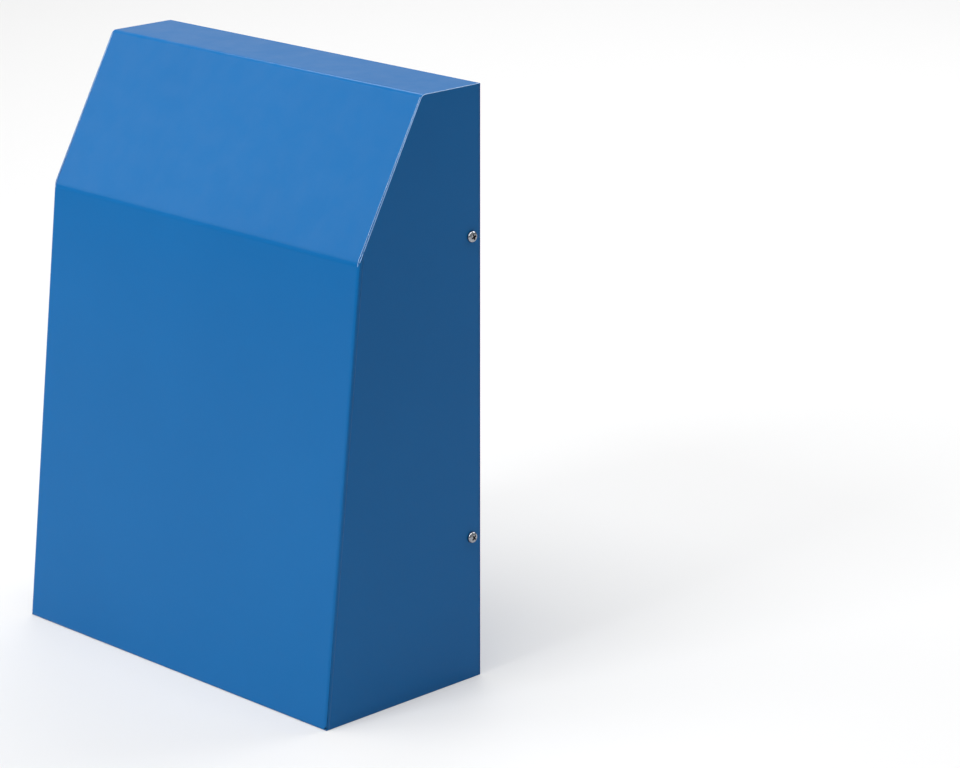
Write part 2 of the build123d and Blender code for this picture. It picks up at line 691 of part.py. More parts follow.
def terminal_box_lid():
    """Flat lid with a locating lip inside the tray."""
    seat = PLATE_FRONT + BOX_DEPTH
    lip = box_outline(BOX_WALL + LID_GAP) - box_outline(2 * BOX_WALL + LID_GAP)
    lip -= at_places(lid_screw_places(), Circle(PILLAR / 2 + LID_GAP))
    lid = flat_sheet(box_outline(0), seat, LID) + flat_sheet(lip, seat - LID_LIP, LID_LIP)
    return lid - flat_sheet(at_places(lid_screw_places(), Circle(LID_SCREW / 2 + HOLE_GAP)), seat, LID)


def lid_screws():
    """The lid's screws."""
    screw = cross_screw(LID_SCREW, LID_SCREW_HEAD, LID_SCREW_LENGTH, LID_SCREW_RISE, SCREW_HEAD_EDGE)
    return copies(screw, towards_front(lid_screw_places(), PLATE_FRONT + BOX_DEPTH + LID))


def terminal_block():
    """Row of terminals on the tray's floor, above the cable entry."""
    height = BOX_Z + BOX_HEIGHT / 2 - BOX_WALL - BLOCK_HEIGHT / 2 - LID_GAP
    outline = Pos(BOX_X, height) * Rectangle(BLOCK_WIDTH, BLOCK_HEIGHT)
    wells = Pos(BOX_X, height) * GridLocations(BLOCK_WIDTH / BLOCK_POLES, 0, BLOCK_POLES, 1)
    seat = PLATE_FRONT + BOX_WALL
    block = flat_sheet(outline, seat, BLOCK_DEPTH)
    return block - flat_sheet(at_places(wells, Circle(BLOCK_WELL / 2)), seat + BLOCK_DEPTH / 2, BLOCK_DEPTH)


def cable_grommet():
    """Rubber grommet in the plate behind the terminal box, closed by a membrane to be pierced."""
    lip = GROMMET_LIP_WALL
    grommet = disc(GROMMET_LIP, SHEET - lip, lip) + disc(GROMMET_LIP, PLATE_FRONT, lip)
    grommet += disc(GROMMET - 2 * SEAL_FIT, SHEET, PLATE)
    well = PLATE / 2 - GROMMET_MEMBRANE / 2 + lip
    grommet -= disc(GROMMET_WELL, SHEET - lip, well) + disc(GROMMET_WELL, PLATE_FRONT + lip - well, well)
    return Pos(BOX_X, 0, BOX_Z) * grommet


def gland_axis():
    """Place of the lead's gland on the box's side wall, +Z pointing out of the box."""
    return Pos(BOX_X - BOX_WIDTH / 2, -PLATE_FRONT - BOX_DEPTH / 2, BOX_Z) * Rot(0, -90, 0)


def lead_gland():
    """Cable gland in the box's wall: threaded body, hexagon collar and rounded cap."""
    collar = extrude(RegularPolygon(GLAND_NUT / 2, 6), GLAND_LENGTH / 2)
    cap = fillet(Cylinder(GLAND / 2, GLAND_LENGTH, align=(Align.CENTER, Align.CENTER, Align.MIN))
                 .edges().sort_by(Axis.Z)[-1], GLAND_ROUND)
    thread = Cylinder(GLAND / 2, 2 * BOX_WALL, align=(Align.CENTER, Align.CENTER, Align.MAX))
    return gland_axis() * (collar + cap + thread)


def motor_lead():
    """Lead from the motor's flange to the gland, over the rim of the impeller."""
    gland_face = BOX_X - BOX_WIDTH / 2 - GLAND_LENGTH
    gland_y = -PLATE_FRONT - BOX_DEPTH / 2
    back = gland_y - LEAD_EXIT_Y
    route = [
        (LEAD_EXIT_X, LEAD_EXIT_Y, LEAD_EXIT_Z),
        (LEAD_EXIT_X, LEAD_EXIT_Y, LEAD_EXIT_Z + LEAD_RISE),
        (LEAD_BOW_X, LEAD_EXIT_Y + LEAD_OVER_SHARE * back, BOX_Z - LEAD_DIP),
        (LEAD_BOW_X + LEAD, LEAD_EXIT_Y + LEAD_DOWN_SHARE * back, BOX_Z),
        (gland_face - LEAD_STRAIGHT, gland_y, BOX_Z),
        (gland_face, gland_y, BOX_Z),
    ]
    points = [Vector(*point) for point in route]
    runs = [after - before for before, after in zip(points, points[1:])]
    radii = [
        LEAD_ARC_SHARE * min(run.length, after.length) / tan(radians(run.get_angle(after) / 2))
        for run, after in zip(runs, runs[1:])
    ]
    path = FilletPolyline(*route, radius=radii)
    return sweep(Plane(path @ 0, z_dir=path % 0) * Circle(LEAD / 2), path=path)


def capacitor():
    """Round run capacitor lying on the mounting plate."""
    can = fillet(Cylinder(CAPACITOR / 2, CAPACITOR_LENGTH).edges(), CAPACITOR_EDGE)
    rest = -PLATE_FRONT - CAPACITOR_GAP - CAPACITOR / 2
    return Pos(CAPACITOR_X, rest, BOX_Z) * Rot(0, 90, 0) * can


def capacitor_strap():
    """Bent strap that holds the capacitor on the plate."""
    half = CAPACITOR / 2 + CAPACITOR_GAP
    toe = half + STRAP_SHEET + STRAP_FOOT
    crown = PLATE_FRONT + 2 * half
    skin = [
        (toe, -PLATE_FRONT), (half, -PLATE_FRONT), (half, -crown),
        (-half, -crown), (-half, -PLATE_FRONT), (-toe, -PLATE_FRONT),
    ]
    arch = CAPACITOR / 2 - STRAP_SHEET
    section = sheet_section(skin, [STRAP_BEND, arch, arch, STRAP_BEND], STRAP_SHEET)
    across = Plane((CAPACITOR_X, 0, BOX_Z), x_dir=(0, 0, 1), z_dir=(-1, 0, 0))
    return extrude(across * section, STRAP_WIDTH / 2, both=True)


NODES = {
    "casing_cover": casing_cover(),
    "rear_frame": rear_frame(),
    "weld_nuts": weld_nuts(),
    "cover_screws": cover_screws(),
    "mounting_plate": mounting_plate(),
    "duct_spigot": duct_spigot(),
    "spigot_seal": spigot_seal(),
    "inlet_ring": inlet_ring(),
    "impeller_shroud": impeller_shroud(),
    "impeller_blades": impeller_blades(),
    "impeller_backplate": impeller_backplate(),
    "impeller_rivets": impeller_rivets(),
    "rotor_can": rotor_can(),
    "rotor_core": rotor_core(),
    "rotor_hub": rotor_hub(),
    "motor_shaft": motor_shaft(),
    "shaft_clip": shaft_clip(),
    "rear_bearing": bearing(TUBE_END),
    "front_bearing": bearing(FRONT_BEARING),
    "stator_core": stator_core(),
    "stator_winding": stator_winding(),
    "motor_flange": motor_flange(),
    "motor_bracket": motor_bracket(),
    "motor_screws": motor_screws(),
    "bracket_rivets": bracket_rivets(),
    "terminal_box_base": terminal_box_base(),
    "terminal_box_lid": terminal_box_lid(),
    "lid_screws": lid_screws(),
    "terminal_block": terminal_block(),
    "cable_grommet": cable_grommet(),
    "lead_gland": lead_gland(),
    "motor_lead": motor_lead(),
    "capacitor": capacitor(),
    "capacitor_strap": capacitor_strap(),
}

os.makedirs("parts", exist_ok=True)
for name, shape in NODES.items():
    export_step(shape, f"parts/{name}.step")
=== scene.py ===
"""Looks of a wall-hung exterior duct fan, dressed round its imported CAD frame.

The frame is in metres: the wall is the plane y = 0, the front looks along -Y, +Z is up and the duct
axis is the Y axis.
"""

from __future__ import annotations

import json
import logging
import math
from collections.abc import Callable, Iterator, Sequence
from contextlib import contextmanager
from dataclasses import dataclass
from enum import Enum

import bmesh
import bpy
from bmesh.types import BMEdge, BMFace
from bpy.types import (
    ID, Material, Node, NodeSocket, NodeTree, NodeTreeInterfaceSocket, Object, Scene, bpy_prop_collection,
)
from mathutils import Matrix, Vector


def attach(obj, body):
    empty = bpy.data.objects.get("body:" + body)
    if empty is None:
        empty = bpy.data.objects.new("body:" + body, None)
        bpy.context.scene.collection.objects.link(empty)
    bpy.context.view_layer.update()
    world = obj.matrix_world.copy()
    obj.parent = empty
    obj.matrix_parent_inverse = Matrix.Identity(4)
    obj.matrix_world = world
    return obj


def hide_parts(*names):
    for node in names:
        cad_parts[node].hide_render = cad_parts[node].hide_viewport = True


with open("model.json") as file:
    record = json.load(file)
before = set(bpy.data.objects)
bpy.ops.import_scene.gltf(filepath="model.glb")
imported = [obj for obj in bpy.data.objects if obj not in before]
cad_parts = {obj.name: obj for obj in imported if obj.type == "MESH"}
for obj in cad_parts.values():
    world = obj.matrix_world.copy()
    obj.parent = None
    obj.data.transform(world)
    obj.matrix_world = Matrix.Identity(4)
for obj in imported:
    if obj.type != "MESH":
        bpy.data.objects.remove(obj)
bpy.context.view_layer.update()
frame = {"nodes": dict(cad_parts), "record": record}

LOG = logging.getLogger("duct_fan")
MM = 0.001
QUARTER = math.pi / 2
CASING = "casing"
# Name of the face attribute that holds the share of the painted highlight on rounded edges, and of their
# clear coat.
PAINTED_HIGHLIGHT = "rim"
NUMBER_SOCKET = "NodeSocketFloat"
WHITE = (1.0, 1.0, 1.0)
UNIT = (0.0, 1.0)

# Shares of a face's normal along a direction: the same plane, facing it, roughly facing it, across it.
PARALLEL = 0.999
FACING = 0.99
TOWARDS = 0.9
ACROSS = 0.1

# Distances under which two points count as one place.
WELD = 0.001 * MM
TOUCH = 0.01 * MM

# Degrees: where smooth shading stops, and from where an edge counts as sharp.
CREASE = 40.0
SHARP = 50.0

Colour = tuple[float, float, float]
Point = tuple[float, float, float]
Range = tuple[float, float]
FaceTest = Callable[[BMFace], bool]


class Element(Enum):
    """Kinds of mesh element that are picked, with the name of their list in a bmesh."""

    EDGE = "edges"
    FACE = "faces"


class Combine(Enum):
    """Ways to combine two forms."""

    ADD = "UNION"
    CUT = "DIFFERENCE"


def rgb(hex_code: str) -> Colour:
    """Linear colour of a hex code such as 2a74b8, by the sRGB curve.

    Args:
        hex_code: Six hex digits in display space.

    Returns:
        The colour in linear light.
    """
    parts = [int(hex_code[i:i + 2], 16) / 255 for i in (0, 2, 4)]
    return tuple(p / 12.92 if p <= 0.04045 else ((p + 0.055) / 1.055) ** 2.4 for p in parts)


class Wiring:
    """Places and links shader nodes in one node tree."""

    # A Mix node has sockets of one name for each kind of data, so its colours go by number.
    MIX_FIRST = 6
    MIX_SECOND = 7
    MIX_RESULT = 2

    def __init__(self, tree: NodeTree) -> None:
        """Takes the tree that the nodes go into."""
        self.tree = tree

    def node(self, kind: str, **settings: object) -> Node:
        """Adds a node.

        Args:
            kind: Blender's node type.
            settings: Properties of the node.

        Returns:
            The new node.
        """
        made = self.tree.nodes.new(kind)
        for key, value in settings.items():
            setattr(made, key, value)
        return made

    def feed(self, target: NodeSocket, source: object) -> None:
        """Links a socket, or sets its value.

        Args:
            target: Input socket.
            source: An output socket, a number or a colour.
        """
        if isinstance(source, NodeSocket):
            self.tree.links.new(source, target)
        elif isinstance(source, tuple) and len(source) == 3 and target.type == "RGBA":
            target.default_value = (*source, 1.0)
        else:
            target.default_value = source

    def math(self, operation: str, a: object, b: object) -> NodeSocket:
        """Arithmetic on two numbers or sockets.

        Args:
            operation: Blender's name of the operation.
            a: First number or socket.
            b: Second number or socket.

        Returns:
            The result's socket.
        """
        made = self.node("ShaderNodeMath", operation=operation)
        self.feed(made.inputs[0], a)
        self.feed(made.inputs[1], b)
        return made.outputs[0]

    def remap(self, value: object, source: Range, target: Range) -> NodeSocket:
        """Maps one range onto another, and holds what lies outside at its ends.

        Args:
            value: Socket to map.
            source: Inputs that become the ends of the target.
            target: Results at the ends of the source.

        Returns:
            The mapped socket.
        """
        made = self.node("ShaderNodeMapRange", clamp=True)
        self.feed(made.inputs["Value"], value)
        for name, number in zip(("From Min", "From Max", "To Min", "To Max"), (*source, *target)):
            made.inputs[name].default_value = number
        return made.outputs["Result"]

    def blend(self, share: object, first: object, second: object) -> NodeSocket:
        """Mixes two colours.

        Args:
            share: Share of the second colour.
            first: First colour or socket.
            second: Second colour or socket.

        Returns:
            The mixed colour's socket.
        """
        made = self.node("ShaderNodeMix", data_type="RGBA")
        self.feed(made.inputs["Factor"], share)
        self.feed(made.inputs[self.MIX_FIRST], first)
        self.feed(made.inputs[self.MIX_SECOND], second)
        return made.outputs[self.MIX_RESULT]

    def noise(self, scale: object, detail: float = 2.0, stretch: Point = (1, 1, 1)) -> NodeSocket:
        """Noise on Object coordinates.

        Args:
            scale: Cells per metre, a number or a socket.
            detail: Octaves.
            stretch: Scale of the coordinates along X, Y and Z.

        Returns:
            The noise's value socket.
        """
        place = self.node("ShaderNodeTexCoord").outputs["Object"]
        if stretch != (1, 1, 1):
            mapping = self.node("ShaderNodeMapping")
            mapping.inputs["Scale"].default_value = stretch
            self.feed(mapping.inputs["Vector"], place)
            place = mapping.outputs["Vector"]
        made = self.node("ShaderNodeTexNoise")
        self.feed(made.inputs["Vector"], place)
        self.feed(made.inputs["Scale"], scale)
        made.inputs["Detail"].default_value = detail
        return made.outputs["Fac"]

    def seen(self) -> NodeSocket:
        """One where the camera, a reflection or glass looks, and zero for light that spreads.

        Returns:
            The socket of that number.
        """
        rays = self.node("ShaderNodeLightPath")
        seen = self.math("MAXIMUM", rays.outputs["Is Camera Ray"], rays.outputs["Is Glossy Ray"])
        return self.math("MAXIMUM", seen, rays.outputs["Is Transmission Ray"])


class Paint(Wiring):
    """New material with a Principled shader, and what the finishes do to it."""

    def __init__(self, name: str) -> None:
        """Starts a material of that name."""
        self.material = bpy.data.materials.new(name)
        self.material.use_nodes = True
        super().__init__(self.material.node_tree)
        self.shader = self.tree.nodes["Principled BSDF"]

    def fill(self, name: str, source: object) -> None:
        """Links an input of the shader, or sets its value."""
        self.feed(self.shader.inputs[name], source)

    def effect(self, group: NodeTree, **values: float) -> bpy_prop_collection:
        """Places a shared group.

        Args:
            group: The shared group.
            values: Values of its inputs.

        Returns:
            The group's outputs.
        """
        made = self.node("ShaderNodeGroup", node_tree=group)
        for name, value in values.items():
            made.inputs[name].default_value = value
        return made.outputs

    def relief(self, height: NodeSocket, strength: float, depth: float) -> None:
        """Bumps the shader's normal by a height.

        Args:
            height: Height socket, about 0 to 1.
            strength: Strength of the bump.
            depth: Depth of the relief in metres.
        """
        bump = self.node("ShaderNodeBump")
        bump.inputs["Strength"].default_value = strength
        bump.inputs["Distance"].default_value = depth
        self.feed(bump.inputs["Height"], height)
        self.fill("Normal", bump.outputs["Normal"])


class Group(Wiring):
    """New shader node group with number sockets."""

    def __init__(self, name: str, **inputs: float) -> None:
        """Starts a group of that name, with the defaults of its inputs."""
        super().__init__(bpy.data.node_groups.new(name, "ShaderNodeTree"))
        for label, default in inputs.items():
            self._socket(label, "INPUT").default_value = default
        self.inputs = self.node("NodeGroupInput").outputs

    def _socket(self, label: str, side: str) -> NodeTreeInterfaceSocket:
        """Adds a number socket on the input or output side."""
        return self.tree.interface.new_socket(name=label, in_out=side, socket_type=NUMBER_SOCKET)

    def give(self, **outputs: NodeSocket) -> NodeTree:
        """Gives results out under their names.

        Args:
            outputs: The results.

        Returns:
            The finished group.
        """
        for label in outputs:
            self._socket(label, "OUTPUT")
        end = self.node("NodeGroupOutput")
        for label, source in outputs.items():
            self.feed(end.inputs[label], source)
        return self.tree


@dataclass
class Effects:
    """Shader node groups that several finishes share, with scales in cells per metre."""

    fine_ratio: float = 3.2
    fine_share: float = 0.25
    speck: Range = (0.35, 0.65)
    upward: Range = (0.2, 1.0)
    patch: Range = (0.35, 0.75)
    middle: Range = (0.3, 0.7)
    flake_share: float = 0.6
    haze_scale: float = 45.0
    pit_scale: float = 900.0
    mottle_scale: float = 70.0
    stain_scale: float = 130.0
    drawn: Point = (0.15, 1.0, 0.15)

    def __post_init__(self) -> None:
        """Builds each group once."""
        self.flow = self._flow()
        self.dust = self._dust()
        self.spangle = self._spangle()
        self.grain = self._grain()
        self.turning = self._turning()

    def _flow(self) -> NodeTree:
        """Flow marks of a baked paint film: fine orange peel and a slow change of tone."""
        group = Group("paint_flow", Peel=240.0, Cloud=5.0)
        peel = group.noise(group.inputs["Peel"], detail=1.5)
        slow = group.noise(group.inputs["Cloud"], detail=3.0)
        fine = group.noise(group.math("MULTIPLY", group.inputs["Peel"], self.fine_ratio), detail=0.0)
        return group.give(
            Height=group.math("ADD", group.math("MULTIPLY", fine, self.fine_share), peel),
            Cloud=group.remap(slow, self.middle, UNIT),
            Speck=group.remap(fine, self.speck, UNIT),
        )

    def _dust(self) -> NodeTree:
        """Thin dust that settles on faces that look up, broken by noise."""
        group = Group("settled_dust", Amount=0.1, Scale=60.0)
        normal = group.node("ShaderNodeSeparateXYZ")
        group.feed(normal.inputs[0], group.node("ShaderNodeNewGeometry").outputs["Normal"])
        upward = group.remap(normal.outputs["Z"], self.upward, UNIT)
        patch = group.remap(group.noise(group.inputs["Scale"], detail=4.0), self.patch, UNIT)
        mask = group.math("MULTIPLY", group.math("MULTIPLY", upward, patch), group.inputs["Amount"])
        return group.give(Mask=mask)

    def _spangle(self) -> NodeTree:
        """Crystal flakes of a hot-dipped zinc skin."""
        group = Group("zinc_spangle", Scale=160.0)
        cells = group.node("ShaderNodeTexVoronoi", feature="F1")
        group.feed(cells.inputs["Vector"], group.node("ShaderNodeTexCoord").outputs["Object"])
        group.feed(cells.inputs["Scale"], group.inputs["Scale"])
        flake = group.node("ShaderNodeSeparateColor")
        group.feed(flake.inputs[0], cells.outputs["Color"])
        haze = group.noise(self.haze_scale, detail=3.0)
        flakes = group.math("MULTIPLY", flake.outputs[0], self.flake_share)
        tone = group.math("ADD", flakes, group.math("MULTIPLY", haze, 1.0 - self.flake_share))
        return group.give(Tone=tone, Height=group.noise(self.pit_scale, detail=1.0))

    def _grain(self) -> NodeTree:
        """Fine grain of a moulded or cast skin."""
        group = Group("moulded_grain", Scale=1500.0)
        mottle = group.noise(self.mottle_scale, detail=4.0)
        return group.give(
            Height=group.noise(group.inputs["Scale"], detail=2.0),
            Tone=group.remap(mottle, self.middle, UNIT),
        )

    def _turning(self) -> NodeTree:
        """Fine lines of a turned, drawn or rolled metal."""
        group = Group("tool_lines", Scale=900.0)
        lines = group.noise(group.inputs["Scale"], detail=2.0, stretch=self.drawn)
        stain = group.noise(self.stain_scale, detail=3.0)
        mean = group.math("MULTIPLY", group.math("ADD", lines, stain), 0.5)
        return group.give(Tone=group.remap(mean, self.middle, UNIT), Height=lines)


@dataclass(frozen=True)
class Finish:
    """What every finish has: a name, the record's slot, two colours, a range of roughness and a bump."""

    name: str
    slot: str
    colour: Colour
    shade: Colour
    smooth: float
    rough: float
    bump: float

    def material(self, effects: Effects) -> Material:
        """Builds the material, each kind of finish in its own way.

        Args:
            effects: The shared groups.

        Returns:
            The finished material.
        """
        raise NotImplementedError


@dataclass(frozen=True)
class PowderCoat(Finish):
    """Glossy baked powder coat: fine orange peel, dust on upper faces, a painted highlight and clear coat
    on edges.
    """

    dust: Colour = rgb("b9bdc2")
    dust_amount: float = 0.04
    # Painted highlight: pale blue blended into the base colour on rounded edges, in place of their glints.
    edge: Colour = rgb("a3c8ef")
    painted_highlight_share: float = 0.7
    edge_rough: float = 0.12
    index: float = 1.22
    depth: float = 0.25 * MM

    def material(self, effects: Effects) -> Material:
        """Builds the material.

        Args:
            effects: The shared groups.

        Returns:
            The finished material.
        """
        paint = Paint(self.name)
        flow = paint.effect(effects.flow)
        dust = paint.effect(effects.dust, Amount=self.dust_amount)
        # Share of the painted highlight on each face; it also sets the clear coat there.
        rim = paint.node("ShaderNodeAttribute", attribute_name=PAINTED_HIGHLIGHT).outputs["Fac"]
        tone = paint.blend(flow["Cloud"], self.colour, self.shade)
        tone = paint.blend(paint.math("MULTIPLY", rim, self.painted_highlight_share), tone, self.edge)
        paint.fill("Base Color", paint.blend(dust["Mask"], tone, self.dust))
        paint.fill("Roughness", paint.remap(flow["Speck"], UNIT, (self.smooth, self.rough)))
        paint.fill("Coat Weight", rim)
        paint.fill("Coat Roughness", self.edge_rough)
        paint.fill("IOR", self.index)
        paint.relief(flow["Height"], self.bump, self.depth)
        return paint.material


@dataclass(frozen=True)
class WorkedMetal(Finish):
    """Turned, drawn or plated metal with fine tool lines."""

    scale: float = 900.0
    metallic: float = 1.0
    depth: float = 0.05 * MM

    def pattern(self, effects: Effects) -> NodeTree:
        """The shared group that gives the metal its tone and relief."""
        return effects.turning

    def material(self, effects: Effects) -> Material:
        """Builds the material.

        Args:
            effects: The shared groups.

        Returns:
            The finished material.
        """
        paint = Paint(self.name)
        pattern = paint.effect(self.pattern(effects), Scale=self.scale)
        paint.fill("Base Color", paint.blend(pattern["Tone"], self.shade, self.colour))
        paint.fill("Roughness", paint.remap(pattern["Tone"], UNIT, (self.rough, self.smooth)))
        paint.fill("Metallic", self.metallic)
        paint.relief(pattern["Height"], self.bump, self.depth)
        return paint.material


@dataclass(frozen=True)
class DippedSheet(WorkedMetal):
    """Hot-dip galvanised sheet with visible flakes in place of tool lines."""

    scale: float = 170.0

    def pattern(self, effects: Effects) -> NodeTree:
        """The shared group of zinc flakes."""
        return effects.spangle


@dataclass(frozen=True)
class Moulding(Finish):
    """Moulded rubber or plastic with a fine grain and a little dust."""

    grain: float = 1500.0
    dust: Colour = rgb("8c8a86")
    dust_amount: float = 0.12
    dust_scale: float = 220.0
    depth: float = 0.06 * MM

    def material(self, effects: Effects) -> Material:
        """Builds the material.

        Args:
            effects: The shared groups.

        Returns:
            The finished material.
        """
        paint = Paint(self.name)
        grain = paint.effect(effects.grain, Scale=self.grain)
        dust = paint.effect(effects.dust, Amount=self.dust_amount, Scale=self.dust_scale)
        tone = paint.blend(grain["Tone"], self.shade, self.colour)
        paint.fill("Base Color", paint.blend(dust["Mask"], tone, self.dust))
        paint.fill("Roughness", paint.remap(grain["Tone"], UNIT, (self.smooth, self.rough)))
        paint.relief(grain["Height"], self.bump, self.depth)
        return paint.material


BLUE_COAT = PowderCoat(
    "blue_powder_coat", "blue_coat", rgb("106aac"), rgb("0d66a7"),
    smooth=0.08, rough=0.13, bump=0.08)
SEAL_RUBBER = Moulding(
    "seal_rubber", "seal_rubber", rgb("111112"), rgb("0b0b0c"),
    smooth=0.34, rough=0.48, bump=0.2)
ZINC_PLATE = WorkedMetal(
    "zinc_plate", "zinc_screw", rgb("b0b3b8"), rgb("83868c"),
    smooth=0.08, rough=0.18, bump=0.12, scale=1400.0)
FINISHES = (
    BLUE_COAT, SEAL_RUBBER, ZINC_PLATE,
    DippedSheet(
        "galvanised_sheet", "galvanised", rgb("c6c9cb"), rgb("9ea3a6"),
        smooth=0.28, rough=0.44, bump=0.15),
    WorkedMetal(
        "motor_black", "motor_black", rgb("34353a"), rgb("26272b"),
        smooth=0.35, rough=0.5, bump=0.15, metallic=0.0),
    WorkedMetal(
        "ground_steel", "motor_steel", rgb("bcbdc0"), rgb("9a9ca0"),
        smooth=0.18, rough=0.34, bump=0.1),
    WorkedMetal(
        "lamination_steel", "motor_lamination", rgb("6d6e72"), rgb("4c4d52"),
        smooth=0.4, rough=0.6, bump=0.3, scale=2600.0),
    WorkedMetal(
        "enamelled_copper", "copper_winding", rgb("b4693c"), rgb("8a4a28"),
        smooth=0.3, rough=0.45, bump=0.5, scale=1800.0),
    WorkedMetal(
        "cast_alloy", "cast_aluminium", rgb("b6b8ba"), rgb("9b9d9f"),
        smooth=0.38, rough=0.55, bump=0.3, scale=500.0),
    Moulding(
        "grey_plastic", "box_plastic", rgb("a9acaf"), rgb("9fa2a6"),
        smooth=0.4, rough=0.55, bump=0.15),
    Moulding(
        "black_plastic", "black_plastic", rgb("2c2c2e"), rgb("202022"),
        smooth=0.4, rough=0.55, bump=0.15),
    Moulding(
        "pale_plastic", "capacitor_plastic", rgb("d9d8d2"), rgb("cfcec8"),
        smooth=0.35, rough=0.5, bump=0.1),
)


class Wardrobe:
    """Holds the finished materials by the record's slot and puts them on pieces."""

    def __init__(self) -> None:
        """Builds every material once."""
        effects = Effects()
        self.materials = {finish.slot: finish.material(effects) for finish in FINISHES}

    def dress(self, piece: Object, slot: str) -> None:
        """Gives a piece the material of a slot.

        Args:
            piece: CAD node or new piece.
            slot: The record's slot.
        """
        piece.data.materials.clear()
        piece.data.materials.append(self.materials[slot])

    def dress_frame(self) -> None:
        """Gives every CAD node the material of its slot in the record."""
        for entry in frame["record"]["subparts"]:
            self.dress(frame["nodes"][entry["node"]], entry["material_slot"])
        LOG.info("dressed %d CAD nodes", len(frame["nodes"]))

    def take_in(self, piece: Object, finish: Finish, *nodes: str) -> None:
        """Dresses a new piece and fixes it to the casing, in place of CAD nodes.

        Args:
            piece: The new piece.
            finish: Its finish.
            nodes: CAD nodes that it stands for.
        """
        self.dress(piece, finish.slot)
        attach(piece, CASING)
        if nodes:
            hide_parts(*nodes)
        LOG.info("piece %s on %s, %d faces", piece.name, CASING, len(piece.data.polygons))


def pick_nothing() -> None:
    """Deselects every object."""
    bpy.ops.object.select_all(action="DESELECT")


def pick_only(piece: Object) -> None:
    """Selects one object and makes it active."""
    pick_nothing()
    piece.select_set(True)
    bpy.context.view_layer.objects.active = piece


@contextmanager
def editing(piece: Object) -> Iterator[None]:
    """Edit mode on one object, with everything selected at the start.

    Args:
        piece: Object to edit.

    Yields:
        Nothing.
    """
    pick_only(piece)
    bpy.ops.object.mode_set(mode="EDIT")
    bpy.ops.mesh.select_all(action="SELECT")
    yield
    bpy.ops.object.mode_set(mode="OBJECT")


def pick(element: Element, test: Callable[..., bool]) -> None:
    """Selects the edges or faces that pass a test, in edit mode.

    Args:
        element: Edges or faces.
        test: Takes an edge or a face and says whether it is wanted.
    """
    bpy.ops.mesh.select_mode(type=element.name)
    bpy.ops.mesh.select_all(action="DESELECT")
    mesh = bpy.context.edit_object.data
    form = bmesh.from_edit_mesh(mesh)
    for item in getattr(form, element.value):
        item.select_set(test(item))
    form.select_flush_mode()
    bmesh.update_edit_mesh(mesh)


def pick_faces(test: FaceTest) -> None:
    """Selects the faces that pass a test, in edit mode."""
    pick(Element.FACE, test)


def pick_edges(test: Callable[[BMEdge], bool]) -> None:
    """Selects the edges that pass a test, in edit mode."""
    pick(Element.EDGE, test)


def bevel_picked(width: float, steps: int) -> None:
    """Bevels the selected edges, in edit mode."""
    bpy.ops.mesh.bevel(offset=width, segments=steps, affect="EDGES", clamp_overlap=False)


def sink_groove(
    piece: Object, on_sheet: FaceTest, cuts: Sequence[tuple[Vector, Vector]],
    between: Callable[[Vector], bool], depth: float,
) -> None:
    """Cuts a sheet along planes and sinks what lies between them.

    Args:
        piece: Object to change.
        on_sheet: Says whether a face is outside on the sheet.
        cuts: Point and normal of each cutting plane.
        between: Says whether the middle of a face lies between the cuts.
        depth: Depth of the groove.
    """
    with editing(piece):
        for place, normal in cuts:
            pick_faces(on_sheet)
            bpy.ops.mesh.bisect(plane_co=place, plane_no=normal)
        pick_faces(lambda face: on_sheet(face) and between(face.calc_center_median()))
        bpy.ops.mesh.extrude_region_shrink_fatten(TRANSFORM_OT_shrink_fatten={"value": -depth})


def new_block(name: str, low: Point, high: Point) -> Object:
    """Box between two corners, with its object at the origin.

    Args:
        name: Name of the object.
        low: Lowest corner.
        high: Highest corner.

    Returns:
        The new object.
    """
    pick_nothing()
    bpy.ops.mesh.primitive_cube_add(size=1.0, location=(0, 0, 0))
    block = bpy.context.object
    block.name = name
    low_corner, high_corner = Vector(low), Vector(high)
    with editing(block):
        bpy.ops.transform.resize(value=high_corner - low_corner)
        bpy.ops.transform.translate(value=(low_corner + high_corner) / 2)
    return block


def turned(name: str, section: Sequence[tuple[float, float]], steps: int) -> Object:
    """Turned piece about the duct axis, from a closed section.

    Args:
        name: Name of the object.
        section: Corners of the section as (radius, y) in millimetres.
        steps: Steps of the turn.

    Returns:
        The new object.
    """
    pick_nothing()
    bpy.ops.mesh.primitive_plane_add(size=MM, location=(0, 0, 0))
    piece = bpy.context.object
    piece.name = name
    run = [Vector((radius * MM, y * MM, 0)) for radius, y in section]
    with editing(piece):
        bpy.ops.mesh.select_mode(type="VERT")
        bpy.ops.mesh.merge(type="CENTER")
        bpy.ops.mesh.select_all(action="SELECT")
        bpy.ops.transform.translate(value=run[0])
        for before, after in zip(run, [*run[1:], run[0]]):
            bpy.ops.mesh.extrude_vertices_move(TRANSFORM_OT_translate={"value": after - before})
        bpy.ops.mesh.select_all(action="SELECT")
        bpy.ops.mesh.remove_doubles(threshold=WELD)
        bpy.ops.mesh.select_all(action="SELECT")
        bpy.ops.mesh.spin(steps=steps, angle=2 * math.pi, center=(0, 0, 0), axis=(0, 1, 0))
        bpy.ops.mesh.select_all(action="SELECT")
        bpy.ops.mesh.remove_doubles(threshold=WELD)
        bpy.ops.mesh.normals_make_consistent(inside=False)
    return piece


def finish_with(piece: Object, kind: str, **settings: object) -> None:
    """Adds a modifier and applies it.

    Args:
        piece: Object to change.
        kind: Blender's modifier type.
        settings: Properties of the modifier.
    """
    pick_only(piece)
    modifier = piece.modifiers.new(kind.lower(), kind)
    for key, value in settings.items():
        setattr(modifier, key, value)
    bpy.ops.object.modifier_apply(modifier=modifier.name)


def ease(piece: Object, width: float, steps: int, angle: float) -> None:
    """Rounds every edge past an angle.

    Args:
        piece: Object to change.
        width: Width of the rounding.
        steps: Faces across it.
        angle: Smallest angle that is rounded, in degrees.
    """
    finish_with(
        piece, "BEVEL", width=width, segments=steps, limit_method="ANGLE", angle_limit=math.radians(angle))


